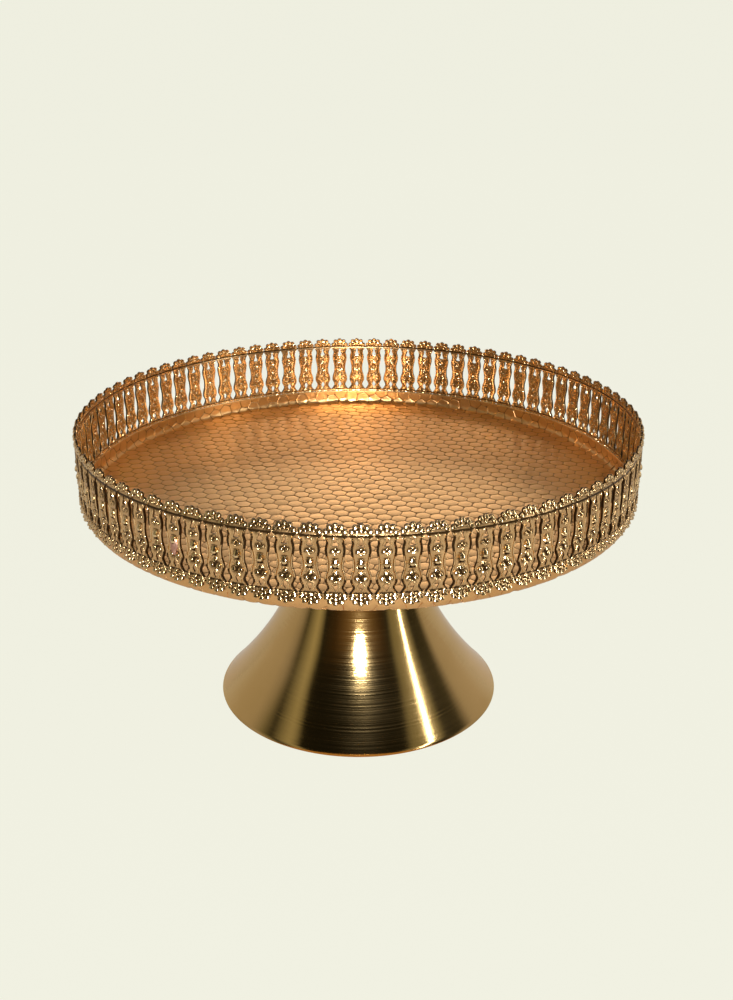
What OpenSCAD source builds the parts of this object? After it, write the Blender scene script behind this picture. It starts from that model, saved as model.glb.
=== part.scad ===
// Footed cake stand: a shallow pressed tray inside a pierced gallery strip, screwed to a spun trumpet pedestal.
// Millimetres, +Z up, origin at the centre of the circle that the pedestal stands on.

/* [Stand] */
// Height of the whole stand, floor to the tips of the gallery
stand_h = 146; // [130:1:170]
// Radius over the outside of the gallery
stand_r = 132; // [110:1:150]

/* [Gallery] */
// Number of times the pierced pattern repeats round the tray
repeats = 84; // [60:1:96]
// Height of the gallery strip, tip to tip
gallery_h = 35; // [32:1:38]
// Thickness of the gallery's sheet
gallery_t = 0.9; // [0.8:0.1:1.2]
// How far the two rails stand out from the gallery's sheet
rail_out = 0.4; // [0.3:0.1:0.6]

/* [Tray] */
// Thickness of the tray's sheet
tray_t = 1; // [0.8:0.1:1.4]
// Height of the tray, from its underside to the rim of its low wall
tray_h = 7.7; // [7:0.1:9]
// Outer radius of the bend between the tray's floor and its wall
tray_bend = 2.6; // [2:0.1:3]

/* [Pedestal] */
// Radius of the pedestal's foot
foot_r = 70; // [60:1:80]
// Radius of the pedestal's flat top
neck_r = 25; // [22:1:30]
// How sharply the pedestal flares: 1 is a straight cone
flare = 2.2; // [1.6:0.1:2.6]
// Thickness of the pedestal's spun sheet
pedestal_t = 1.2; // [1:0.1:1.6]
// Width of the hem turned in under the foot
hem_w = 4; // [3:0.5:6]

/* [Fastening] */
// Radius of the stud
stud_r = 3; // [2.5:0.5:4]
// Length of the stud below its plate
stud_len = 16; // [14:1:20]
// Radius of the plate that holds the stud under the tray
plate_r = 21; // [16:1:22]
// Thickness of the stud's plate
plate_t = 1.5; // [1:0.1:2]
// Span of the wing nut, tip to tip
wing_span = 30; // [26:1:34]

/* [Hidden] */
$fn = 96;
ROUND_FN = 336;
FLARE_STEPS = 28;
NOTCH_STEPS = 3;

fit = 0.1;                                   // room between pieces that lie face to face on a curve
band_r = stand_r - rail_out;                 // outside of the gallery's sheet
band_in = band_r - gallery_t;                // inside of the gallery's sheet
wall_r = band_in - fit;                      // outside of the tray's wall
pitch_deg = 360 / repeats;
pitch = 2 * PI * stand_r / repeats;

// Heights in the gallery's strip, counted up from its lowest tips
tip_h = 4.9;                                 // from the tips of a scallop to the middle of its rail
rail_h = 1.1;
scallop_r = 0.46 * pitch;
low_rail = tip_h;
top_rail = gallery_h - tip_h;

gallery_z = stand_h - gallery_h;             // the gallery's lowest tips
tray_z = gallery_z - 3.3;                    // the tray's underside
plate_z = tray_z - plate_t;                  // underside of the stud's plate, and top of the pedestal
washer_r = 9;
washer_t = 1.2;
washer_z = plate_z - pedestal_t - washer_t;
lock_r = 5.6;
lock_t = 1.5;
lock_z = washer_z - lock_t;
nut_boss_h = 6;
nut_z = lock_z - nut_boss_h;
hole_r = stud_r + 0.4;
seam_deg = 234;                              // where the gallery's two ends overlap, counted from +X

// Outer radius of the pedestal at height z
function flare_r(z) = neck_r + (foot_r - neck_r) * pow(1 - z / plate_z, flare);
// Rising outline of the pedestal from height z0 to z1, moved in by d
function flare_line(z0, z1, d) = [for (i = [0 : FLARE_STEPS])
    let (z = z0 + (z1 - z0) * i / FLARE_STEPS) [flare_r(z) - d, z]];
function reversed(v) = [for (i = [len(v) - 1 : -1 : 0]) v[i]];
// Arc about [x, y] from angle a to angle b, in the given number of steps
function arc(x, y, r, a, b, steps) = [for (i = [0 : steps])
    let (t = a + (b - a) * i / steps) [x + r * cos(t), y + r * sin(t)]];

// Shallow round tray with a bent-up wall; its floor is flat
module tray_pan() {
    color([0.74, 0.55, 0.34]) translate([0, 0, tray_z])
        rotate_extrude($fn = ROUND_FN)
            polygon(concat(
                [[0, 0]],
                arc(wall_r - tray_bend, tray_bend, tray_bend, -90, 0, 8),
                arc(wall_r - tray_t / 2, tray_h - tray_t / 2, tray_t / 2, 0, 180, 6),
                arc(wall_r - tray_bend, tray_bend, tray_bend - tray_t, 0, -90, 6),
                [[0, tray_t]]));
}

// Plain cross-section of the gallery strip, with a rail along each side
module gallery_section() {
    polygon([
        [band_in, 0], [band_r, 0],
        [band_r, low_rail - rail_h / 2], [stand_r, low_rail - rail_h / 4],
        [stand_r, low_rail + rail_h / 4], [band_r, low_rail + rail_h / 2],
        [band_r, top_rail - rail_h / 2], [stand_r, top_rail - rail_h / 4],
        [stand_r, top_rail + rail_h / 4], [band_r, top_rail + rail_h / 2],
        [band_r, gallery_h], [band_in, gallery_h]]);
}

// Gap between two columns: its half width as a share of the pitch, at shares of the way up from rail to rail
gap_shape = [[0.04, 0.04], [0.18, 0.135], [0.075, 0.285], [0.09, 0.36], [0.165, 0.47],
             [0.165, 0.60], [0.075, 0.71], [0.075, 0.80], [0.145, 0.885], [0.04, 0.965]];
gap_line = [for (p = gap_shape) [p[0] * pitch, low_rail + p[1] * (top_rail - low_rail)]];
// Openings inside a column, half width and distance from the rail: a bell at the top, a diamond at the foot
bell_line = [[0.04 * pitch, 0.9], [0.045 * pitch, 2.8], [0.125 * pitch, 4.5], [0.075 * pitch, 4.9]];
diamond_line = [[0, 1.4], [0.095 * pitch, 3.4], [0, 4.9]];
// Notch between two round scallops, from the rail out past the tips: half width and distance from the rail
notch_arc = arc(pitch / 2, tip_h - scallop_r, scallop_r, 165, 105, NOTCH_STEPS);
notch_line = concat(notch_arc, [[notch_arc[NOTCH_STEPS][0], tip_h + 1]]);

function mirror_x(v) = [for (p = reversed(v)) [-p[0], p[1]]];
// Closed outline from its right half; a point on the middle line is used once
function closed_half(v) = concat(v, [for (p = mirror_x(v)) if (p[0] != 0) p]);
// The half outline v, measured from a rail at height rail towards side (1 is up, -1 is down)
function from_rail(v, rail, side) = [for (p = v) [p[0], rail + side * p[1]]];

// One repeat's openings: the gap and the notches, and half a pitch along the two inside a column
module repeat_cut() {
    rotate([90, 0, 90]) translate([0, 0, band_in - 1]) linear_extrude(gallery_t + rail_out + 2) {
        polygon(closed_half(gap_line));
        polygon(closed_half(from_rail(notch_line, top_rail, 1)));
        polygon(closed_half(from_rail(notch_line, low_rail, -1)));
    }
    rotate([0, 0, pitch_deg / 2])
        rotate([90, 0, 90]) translate([0, 0, band_in - 1]) linear_extrude(gallery_t + rail_out + 2) {
            polygon(closed_half(from_rail(bell_line, top_rail, -1)));
            polygon(closed_half(from_rail(diamond_line, low_rail, 1)));
        }
}

// Pierced strip bent to a ring, with scallops above and below its rails
module gallery_band() {
    color([0.70, 0.60, 0.38]) translate([0, 0, gallery_z])
        difference() {
            rotate_extrude($fn = ROUND_FN) gallery_section();
            for (i = [0 : repeats - 1]) rotate([0, 0, seam_deg + i * pitch_deg]) repeat_cut();
        }
}

// Patch of solder over the column where the strip's two ends overlap
module seam_solder() {
    seam_w = 3;
    seam_t = rail_out - fit;
    seam_h = 9;
    color([0.72, 0.45, 0.35])
        rotate([0, 0, seam_deg + pitch_deg / 2])
            translate([band_r + fit / 2, -seam_w / 2, gallery_z + low_rail + 6])
                cube([seam_t, seam_w, seam_h]);
}

// Round plate bonded under the tray's floor, with the hole that the stud is staked in
module mount_plate() {
    color([0.62, 0.60, 0.56]) translate([0, 0, plate_z])
        difference() {
            cylinder(r = plate_r, h = plate_t);
            translate([0, 0, -1]) cylinder(r = stud_r, h = plate_t + 2);
        }
}

// Stud that hangs from the plate through the pedestal's top
module stud() {
    color([0.66, 0.66, 0.66]) translate([0, 0, plate_z - stud_len])
        union() {
            translate([0, 0, 1]) cylinder(r = stud_r, h = stud_len + plate_t - 1);
            cylinder(r1 = stud_r - 0.8, r2 = stud_r, h = 1);
        }
}

// Hollow spun pedestal: a flat top with a hole, a flared wall and a flat hem under the foot
module pedestal_cone() {
    wall = pedestal_t * 1.25;
    color([0.45, 0.38, 0.20])
        difference() {
            rotate_extrude($fn = ROUND_FN)
                polygon(concat(
                    [[foot_r - hem_w, 0]],
                    flare_line(0, plate_z, 0),
                    [[0, plate_z], [0, plate_z - pedestal_t]],
                    reversed(flare_line(pedestal_t, plate_z - pedestal_t, wall)),
                    [[foot_r - hem_w, pedestal_t]]));
            translate([0, 0, plate_z - 5]) cylinder(r = hole_r, h = 10);
        }
}

// Plain washer under the pedestal's top
module flat_washer() {
    color([0.70, 0.70, 0.70]) translate([0, 0, washer_z])
        difference() {
            cylinder(r = washer_r, h = washer_t);
            translate([0, 0, -1]) cylinder(r = hole_r, h = washer_t + 2);
        }
}

// Split spring washer, pressed flat
module lock_washer() {
    split_w = 0.8;
    color([0.50, 0.50, 0.50]) translate([0, 0, lock_z])
        difference() {
            cylinder(r = lock_r, h = lock_t);
            translate([0, 0, -1]) cylinder(r = stud_r + 0.2, h = lock_t + 2);
            rotate([0, 0, 40]) translate([0, -split_w / 2, -1]) cube([lock_r + 1, split_w, lock_t + 2]);
        }
}

// Wing nut: a tapered boss with two upright wings
module wing_nut() {
    boss_r = 6;
    wing_t = 2;
    wing_h = 9;
    wing_in = boss_r - 1.5;
    color([0.66, 0.66, 0.62]) translate([0, 0, nut_z])
        difference() {
            union() {
                cylinder(r1 = boss_r - 1, r2 = boss_r, h = nut_boss_h);
                for (a = [0, 180]) rotate([0, 0, a])
                    translate([0, wing_t / 2, 0]) rotate([90, 0, 0]) linear_extrude(wing_t)
                        polygon(concat(
                            [[wing_in, nut_boss_h - 1], [wing_in, 1]],
                            arc(wing_span / 2 - 4, nut_boss_h - 1 - wing_h + 3, 4, -100, 70, 8)));
            }
            translate([0, 0, -1]) cylinder(r = stud_r + 0.02, h = nut_boss_h + 2);
        }
}

tray_pan();
gallery_band();
seam_solder();
mount_plate();
stud();
pedestal_cone();
flat_washer();
lock_washer();
wing_nut();
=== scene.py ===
"""Looks of a footed cake stand: embossed tray, pierced gallery and spun pedestal on the CAD frame."""

import math

import bpy
import numpy as np
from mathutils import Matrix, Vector
from mathutils.geometry import delaunay_2d_cdt


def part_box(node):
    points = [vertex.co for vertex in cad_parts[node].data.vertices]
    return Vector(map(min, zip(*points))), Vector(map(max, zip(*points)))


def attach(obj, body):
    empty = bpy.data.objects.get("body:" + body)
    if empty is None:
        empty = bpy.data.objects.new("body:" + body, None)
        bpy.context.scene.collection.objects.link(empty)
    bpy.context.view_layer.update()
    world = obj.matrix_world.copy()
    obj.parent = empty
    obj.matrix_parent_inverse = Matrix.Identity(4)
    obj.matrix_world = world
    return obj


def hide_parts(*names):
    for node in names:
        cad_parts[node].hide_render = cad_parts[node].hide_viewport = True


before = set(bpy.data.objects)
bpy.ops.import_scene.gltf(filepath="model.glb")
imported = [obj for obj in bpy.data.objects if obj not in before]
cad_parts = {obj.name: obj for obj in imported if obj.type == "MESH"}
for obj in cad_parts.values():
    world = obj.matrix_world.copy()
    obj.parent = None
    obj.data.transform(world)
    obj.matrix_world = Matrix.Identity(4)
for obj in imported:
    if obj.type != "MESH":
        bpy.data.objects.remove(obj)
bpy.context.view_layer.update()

MM = 0.001


def node_mm(name):
    """Lowest and highest corners of a CAD node, in millimetres."""
    low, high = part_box(name)
    return np.array(low) / MM, np.array(high) / MM


BAND_LO, BAND_HI = node_mm("gallery_band")
PAN_LO, PAN_HI = node_mm("tray_pan")
FOOT_HI = node_mm("pedestal_cone")[1]
PLATE_LO, PLATE_HI = node_mm("mount_plate")
STUD_LO, STUD_HI = node_mm("stud")
WASHER_LO, WASHER_HI = node_mm("flat_washer")
LOCK_LO, LOCK_HI = node_mm("lock_washer")
NUT_LO, NUT_HI = node_mm("wing_nut")

# ---- camera

CAMERA_BACK = 547.6  # mm from the stand's axis
CAMERA_HEIGHT = 329.0  # mm
CAMERA_PITCH = 24.9  # degrees downwards
CAMERA_SHIFT = (0.008, 0.049)  # sideways and upwards, as a share of the sensor
LENS = 44.028  # mm
SENSOR = 36.0  # mm
CLIP = (0.01, 20)  # m


def make_camera():
    """The scene's camera, in front of the stand and above it."""
    data = bpy.data.cameras.new("camera")
    camera = bpy.data.objects.new("camera", data)
    bpy.context.scene.collection.objects.link(camera)
    camera.location = Vector((0, -CAMERA_BACK, CAMERA_HEIGHT)) * MM
    camera.rotation_euler = (math.radians(90 - CAMERA_PITCH), 0, 0)
    data.sensor_width = SENSOR
    data.lens = LENS
    data.shift_x, data.shift_y = CAMERA_SHIFT
    data.clip_start, data.clip_end = CLIP
    bpy.context.scene.camera = camera


make_camera()

# ---- mesh helpers

ON_AXIS = 1e-6  # mm: a profile's point with less radius is one point
CRISP = 35  # degrees: turned pieces have crisp edges from this bend on


def add_piece(name, verts_mm, faces, material, replaced, sharp_deg, values=None):
    """A smooth-shaded mesh piece from millimetre points, riding on the stand's one body."""
    mesh = bpy.data.meshes.new(name)
    corners = [tuple(int(i) for i in face) for face in faces]
    mesh.from_pydata((np.asarray(verts_mm) * MM).tolist(), [], corners)
    mesh.validate()
    mesh.update()
    for label, numbers in (values or {}).items():
        attribute = mesh.attributes.new(label, "FLOAT", "POINT")
        attribute.data.foreach_set("value", np.asarray(numbers, dtype=np.float32))
    mesh.polygons.foreach_set("use_smooth", [True] * len(mesh.polygons))
    mesh.set_sharp_from_angle(angle=math.radians(sharp_deg))
    piece = bpy.data.objects.new(name, mesh)
    bpy.context.scene.collection.objects.link(piece)
    mesh.materials.append(material)
    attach(piece, "root")
    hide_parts(*replaced)
    return piece


def weld(piece, reach_mm):
    """Joins the points of a piece that lie closer than reach_mm."""
    modifier = piece.modifiers.new("weld", "WELD")
    modifier.merge_threshold = reach_mm * MM


def polar(r, turn, z):
    """The point at a radius, a turn about Z in radians and a height."""
    return r * math.cos(turn), r * math.sin(turn), z


def lathe(profile, segments, closed=True):
    """Points and faces of a profile of (radius, height) turned about Z. Points on the axis are shared."""
    verts, rings, faces = [], [], []
    turn = 2 * math.pi / segments
    for r, z in profile:
        if r < ON_AXIS:
            rings.append([len(verts)] * segments)
            verts.append((0, 0, z))
        else:
            rings.append(list(range(len(verts), len(verts) + segments)))
            verts += [polar(r, i * turn, z) for i in range(segments)]
    for near, far in zip(rings, rings[1:] + rings[:1] if closed else rings[1:]):
        for i in range(segments):
            j = (i + 1) % segments
            corners = list(dict.fromkeys((near[i], near[j], far[j], far[i])))
            if len(corners) > 2:
                faces.append(tuple(corners))
    return verts, faces


def grid(rows, spokes):
    """Corners of the quads between the rows of a closed grid that has rows + 1 rows of points."""
    for row in range(rows):
        for k in range(spokes):
            a, b = row * spokes + k, row * spokes + (k + 1) % spokes
            yield a, b, b + spokes, a + spokes


def turned(name, profile, material, node, segments=96):
    """A turned piece from a closed (radius, height) profile that runs anticlockwise."""
    verts, faces = lathe(profile, segments)
    add_piece(name, verts, faces, material, [node], CRISP)


def arc_points(cx, cy, r, start, end, steps):
    """Points on an arc about (cx, cy), angles in degrees."""
    turns = [math.radians(start + (end - start) * i / steps) for i in range(steps + 1)]
    return [(cx + r * math.cos(t), cy + r * math.sin(t)) for t in turns]


# ---- material helpers


class Nodes:
    """The nodes of a new material or world, with short ways to add and join them."""

    def __init__(self, owner):
        owner.use_nodes = True
        self.owner = owner
        self.tree = owner.node_tree

    def add(self, kind, **settings):
        node = self.tree.nodes.new(kind)
        for key, value in settings.items():
            setattr(node, key, value)
        return node

    def feed(self, socket, value):
        """Gives a socket a number, a colour or another node's output."""
        if isinstance(value, bpy.types.NodeSocket):
            self.tree.links.new(value, socket)
        else:
            socket.default_value = (*value, 1) if isinstance(value, tuple) else value

    def shade(self, **sockets):
        """Feeds the material's shader: a name's underscores stand for spaces."""
        shader = self.tree.nodes["Principled BSDF"]
        for key, value in sockets.items():
            self.feed(shader.inputs[key.replace("_", " ")], value)

    def coords(self, kind="Object", scale=(1, 1, 1)):
        source = self.add("ShaderNodeTexCoord")
        mapping = self.add("ShaderNodeMapping")
        mapping.inputs["Scale"].default_value = scale
        self.feed(mapping.inputs["Vector"], source.outputs[kind])
        return mapping.outputs["Vector"]

    def split(self, vector):
        node = self.add("ShaderNodeSeparateXYZ")
        self.feed(node.inputs[0], vector)
        return node.outputs

    def noise(self, where, scale, detail, dimensions="3D"):
        node = self.add("ShaderNodeTexNoise", noise_dimensions=dimensions)
        self.feed(node.inputs["Scale"], scale)
        self.feed(node.inputs["Detail"], detail)
        self.feed(node.inputs["W" if dimensions == "1D" else "Vector"], where)
        return node.outputs["Fac"]

    def remap(self, value, start, to=(0, 1), curve="LINEAR"):
        """A value moved from one range to another, and kept inside it."""
        node = self.add("ShaderNodeMapRange", interpolation_type=curve)
        for socket, number in zip(("From Min", "From Max", "To Min", "To Max"), (*start, *to)):
            self.feed(node.inputs[socket], number)
        self.feed(node.inputs["Value"], value)
        return node.outputs["Result"]

    def math(self, operation, first, second):
        node = self.add("ShaderNodeMath", operation=operation)
        self.feed(node.inputs[0], first)
        self.feed(node.inputs[1], second)
        return node.outputs["Value"]

    def mix_colour(self, factor, first, second):
        node = self.add("ShaderNodeMix", data_type="RGBA")
        self.feed(node.inputs["Factor"], factor)
        self.feed(node.inputs[6], first)
        self.feed(node.inputs[7], second)
        return node.outputs[2]

    def bump(self, height, depth_mm, strength, after=None):
        node = self.add("ShaderNodeBump")
        self.feed(node.inputs["Distance"], depth_mm * MM)
        self.feed(node.inputs["Strength"], strength)
        self.feed(node.inputs["Height"], height)
        if after is not None:
            self.feed(node.inputs["Normal"], after)
        return node.outputs["Normal"]

    def attribute(self, name):
        return self.add("ShaderNodeAttribute", attribute_name=name).outputs["Fac"]


# ---- materials

NARROW = (0.35, 0.65)  # ranges that most of a noise lies in
MIDDLE = (0.3, 0.7)
BROAD = (0.2, 0.8)
CREASE = -0.16  # mm: depth of the creases beside the gallery's raised parts, and the tone of the gallery's near-black painted shade


def new_material(name):
    return Nodes(bpy.data.materials.new(name))


def tray_material():
    """Satin gold-tone plating on embossed sheet, with painted shade darkening the grooves."""
    n = new_material("tray_gold")
    cloud = n.noise(n.coords(), 14, 4)
    grain = n.noise(n.coords(), 900, 2)
    face = n.mix_colour(n.remap(cloud, NARROW), (0.79, 0.45, 0.175), (0.85, 0.51, 0.215))
    # painted shade: the groove share darkens the colour towards dark brown
    colour = n.mix_colour(n.attribute("groove"), face, (0.42, 0.22, 0.08))
    rough = n.math("ADD", n.remap(cloud, MIDDLE, (0.30, 0.38)), n.remap(grain, BROAD, (-0.04, 0.04)))
    n.shade(Metallic=1.0, Base_Color=colour, Roughness=rough, Normal=n.bump(grain, 0.02, 0.5))
    return n.owner


def gallery_material():
    """Bright gold-tone plating on stamped strip, with painted shade in the recesses and painted highlight on
    the raised parts.
    """
    n = new_material("gallery_gold")
    cloud = n.noise(n.coords(), 60, 4)
    grain = n.noise(n.coords(), 1400, 2)
    # the relief attribute holds the tone of painted light: low for painted shade, high for painted highlight
    tone = n.attribute("relief")
    flat = n.mix_colour(n.remap(cloud, MIDDLE), (0.68, 0.44, 0.20), (0.77, 0.51, 0.25))
    # painted shade: low tones go towards near-black
    painted_shade = n.mix_colour(n.remap(tone, (CREASE, 0.02)), (0.07, 0.04, 0.016), flat)
    # painted highlight: high tones go towards pale gold
    colour = n.mix_colour(n.remap(tone, (0.10, 0.60)), painted_shade, (0.88, 0.68, 0.38))
    rough = n.math("ADD", n.remap(tone, (-0.1, 0.5), (0.34, 0.12)), n.remap(grain, BROAD, (-0.03, 0.03)))
    n.shade(Metallic=1.0, Base_Color=colour, Roughness=rough, Normal=n.bump(grain, 0.03, 0.5))
    return n.owner


def pedestal_material():
    """Polished gold-tone plating with the fine rings of the spinning lathe."""
    n = new_material("pedestal_gold")
    height = n.split(n.coords())["Z"]
    rings = n.noise(height, 1500, 4, "1D")
    wide = n.noise(height, 420, 3, "1D")
    cloud = n.noise(n.coords(), 25, 3)
    speck = n.noise(n.coords(scale=(1, 1, 4)), 700, 3)
    colour = n.mix_colour(n.remap(cloud, NARROW), (0.70, 0.48, 0.19), (0.76, 0.53, 0.23))
    rough = n.math("ADD", n.remap(rings, MIDDLE, (0.07, 0.14)), n.remap(cloud, MIDDLE, (-0.02, 0.03)))
    turned_face = n.bump(wide, 0.04, 0.8, n.bump(rings, 0.02, 0.8))
    n.shade(Metallic=1.0, Base_Color=colour, Roughness=rough, Normal=n.bump(speck, 0.01, 0.5, turned_face))
    return n.owner


def metal_material(name, light, dark, rough, scale=120.0, grain_mm=0.02):
    """Plain hardware metal: a cloudy colour, cloudy roughness and a fine grain."""
    n = new_material(name)
    cloud = n.noise(n.coords(), scale, 4)
    grain = n.noise(n.coords(), 1500, 2)
    n.shade(Metallic=1.0, Base_Color=n.mix_colour(n.remap(cloud, MIDDLE), dark, light),
            Roughness=n.remap(cloud, MIDDLE, rough), Normal=n.bump(grain, grain_mm, 0.6))
    return n.owner


TRAY = tray_material()
GALLERY = gallery_material()
PEDESTAL = pedestal_material()
ZINC = metal_material("zinc_plating", (0.78, 0.79, 0.80), (0.58, 0.60, 0.62), (0.40, 0.22))
PLAIN_STEEL = metal_material("plain_steel", (0.62, 0.60, 0.57), (0.42, 0.40, 0.37), (0.55, 0.35), 60)
SPRING_STEEL = metal_material("spring_steel", (0.40, 0.40, 0.42), (0.22, 0.22, 0.24), (0.48, 0.30))
SOLDER = metal_material("solder", (0.80, 0.50, 0.40), (0.50, 0.26, 0.18), (0.60, 0.35), 400, 0.08)

# ---- embossed tray, mm

SHEET = 0.8  # the tray's sheet
CELL = 6.7  # from cell to cell of the honeycomb
CELL_SIDE = CELL / math.sqrt(3)
CELL_TURN = -13.0  # direction of one row of cells, degrees from +X
CORNER_CUT = 0.16  # how far a cell's corners are cut off, as a share of its side
SAME_CORNER = 0.05  # corners this close are one
CELL_LIFT = 0.020  # spread of the cells' heights
CELL_TILT = 0.011  # spread of their slopes
CELL_CROWN = 0.015  # rise of a cell's middle
GROOVE = 0.20  # depth of the grooves between cells
PRINT = 0.8  # how much of the pattern shows through on the lower face
BEND = 1.8  # inner radius between floor and wall
LIP = SHEET / 2
LIP_STEPS = 6
LIP_FADE = 0.6  # the pattern fades out over this width below the lip
SNAP = 0.05  # points closer than this to the lip are drawn in by as much
WARP = 0.10  # how far the floor wanders up and down
WARP_X, WARP_Y = 17, 21  # and how slowly
WARP_END, WARP_FADE = 120, 30  # the wandering ends at this radius, and fades over this width
FLOOR_Z = PAN_LO[2] + 1.0  # the floor's upper face, as in the CAD
WALL_IN = PAN_HI[0] - 0.6 - SHEET
RIM_Z = PAN_HI[2]
BEND_AT = WALL_IN - BEND  # radius where the floor ends
FLAT_CELLS = BEND_AT - CELL * 0.7
TOP_RHO = BEND_AT + BEND * math.pi / 2 + (RIM_Z - LIP - FLOOR_Z - BEND)

# Rings inside a cell, from its border inwards: distance from the border, height and groove share (weight of
# the painted groove shade)
BEVEL_RINGS = ((0.13, -0.10, 0.85), (0.32, 0.0, 0.0))
CURVED_RINGS = BEVEL_RINGS + ((1.15, 0.0, 0.0), (1.95, 0.0, 0.0), (2.7, 0.0, 0.0))
PLAIN_RINGS = ((0.32, 0.0, 0.0),)


def tray_profile(rho):
    """The sheet's inner face at a flat distance rho from the axis: radius, height and inward normal."""
    turn = np.clip((rho - BEND_AT) / BEND, 0, math.pi / 2)
    past = np.maximum(rho - BEND_AT - BEND * math.pi / 2, 0)
    r = np.minimum(rho, BEND_AT) + BEND * np.sin(turn)
    z = FLOOR_Z + BEND * (1 - np.cos(turn)) + past
    return r, z, -np.sin(turn), np.cos(turn)


def cell_rings(spokes, rings, sides):
    """Offsets of the points of each ring inside a cell with 6 or 12 sides."""
    out = []
    for inset, height, groove in rings:
        reach = CELL_SIDE - inset / math.cos(math.pi / 6)
        ring = []
        for k in range(6):
            tip = spokes[k] * reach
            if sides == 6:
                ring.append(tip)
            else:
                beside = (spokes[k - 1], spokes[(k + 1) % 6])
                ring += [tip + (other * reach - tip) * CORNER_CUT for other in beside]
        out.append((ring, height, groove))
    return out


def cell_faces(border, inner, middle):
    """Faces of one cell, from its six corners through its rings to its middle."""
    first, sides = inner[0], len(inner[0])
    per = sides // 6
    faces = []
    for k in range(6):
        last = first[per * k + per - 1]
        if per == 2:
            faces.append((border[k], last, first[2 * k]))
        faces.append((border[k], border[(k + 1) % 6], first[(per * k + per) % sides], last))
    for outer, smaller in zip(inner, inner[1:]):
        faces += [(outer[k], outer[(k + 1) % sides], smaller[(k + 1) % sides], smaller[k])
                  for k in range(sides)]
    return faces + [(inner[-1][k], inner[-1][(k + 1) % sides], middle) for k in range(sides)]


def honeycomb(upper):
    """Flat honeycomb for one face of the sheet: points, heights, groove shares (weights of the painted groove
    shade) and faces.

    The lower face has plain six-sided cells where the sheet is flat, since its pattern is only a faint print.
    """
    rng = np.random.default_rng(11)
    row, slant = (math.radians(CELL_TURN + turn) for turn in (0, 60))
    along = np.array([math.cos(row), math.sin(row)]) * CELL
    aslant = np.array([math.cos(slant), math.sin(slant)]) * CELL
    turns = np.radians(CELL_TURN + 30 + 60 * np.arange(6))
    spokes = np.stack([np.cos(turns), np.sin(turns)], 1)
    count = int(TOP_RHO / CELL) + 3
    points, heights, grooves, faces, shared = [], [], [], [], {}

    def point(place, height, groove):
        points.append(place)
        heights.append(height)
        grooves.append(groove)
        return len(points) - 1

    def corner(place):
        """A corner that neighbouring cells share."""
        column, line = round(place[0] / SAME_CORNER), round(place[1] / SAME_CORNER)
        for dx in (-1, 0, 1):
            for dy in (-1, 0, 1):
                if (column + dx, line + dy) in shared:
                    return shared[column + dx, line + dy]
        shared[column, line] = point(place, -GROOVE, 1.0)
        return shared[column, line]

    for i in range(-2 * count, 2 * count + 1):
        for j in range(-2 * count, 2 * count + 1):
            centre = i * along + j * aslant
            if np.hypot(*centre) > TOP_RHO + CELL_SIDE:
                continue
            lift = rng.normal(0, CELL_LIFT)
            tilt = rng.normal(0, CELL_TILT, 2)
            flat = np.hypot(*centre) < FLAT_CELLS
            sides = 12 if upper or not flat else 6
            rings = (BEVEL_RINGS if upper else PLAIN_RINGS) if flat else CURVED_RINGS
            border = [corner(centre + spoke * CELL_SIDE) for spoke in spokes]
            inner = [[point(centre + p, height + lift + float(p @ tilt), groove) for p in ring]
                     for ring, height, groove in cell_rings(spokes, rings, sides)]
            faces += cell_faces(border, inner, point(centre, CELL_CROWN + lift, 0.0))
    return np.array(points), np.array(heights), np.array(grooves), faces


def clip_to_rim(flat, faces):
    """The points and faces cut off along the circle at TOP_RHO, with the new points last."""
    rho = np.hypot(flat[:, 0], flat[:, 1])
    close = np.abs(rho - TOP_RHO) < SNAP
    flat[close] *= ((TOP_RHO - SNAP) / rho[close])[:, None]
    inside = (rho < TOP_RHO) | close
    points, crossings = [tuple(p) for p in flat], {}

    def crossing(near, far):
        if (near, far) not in crossings:
            p, d = flat[near], flat[far] - flat[near]
            a, b, c = d @ d, 2 * p @ d, p @ p - TOP_RHO ** 2
            cut = p + d * (-b + math.sqrt(b * b - 4 * a * c)) / (2 * a)
            crossings[near, far] = len(points)
            points.append(tuple(cut * TOP_RHO / np.hypot(*cut)))
        return crossings[near, far]

    kept = []
    for face in faces:
        if not any(inside[i] for i in face):
            continue
        clipped = []
        for i, j in zip(face, face[1:] + face[:1]):
            if inside[i]:
                clipped.append(i)
            if inside[i] != inside[j]:
                clipped.append(crossing(i, j) if inside[i] else crossing(j, i))
        kept.append(tuple(clipped))
    return np.array(points), kept


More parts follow.
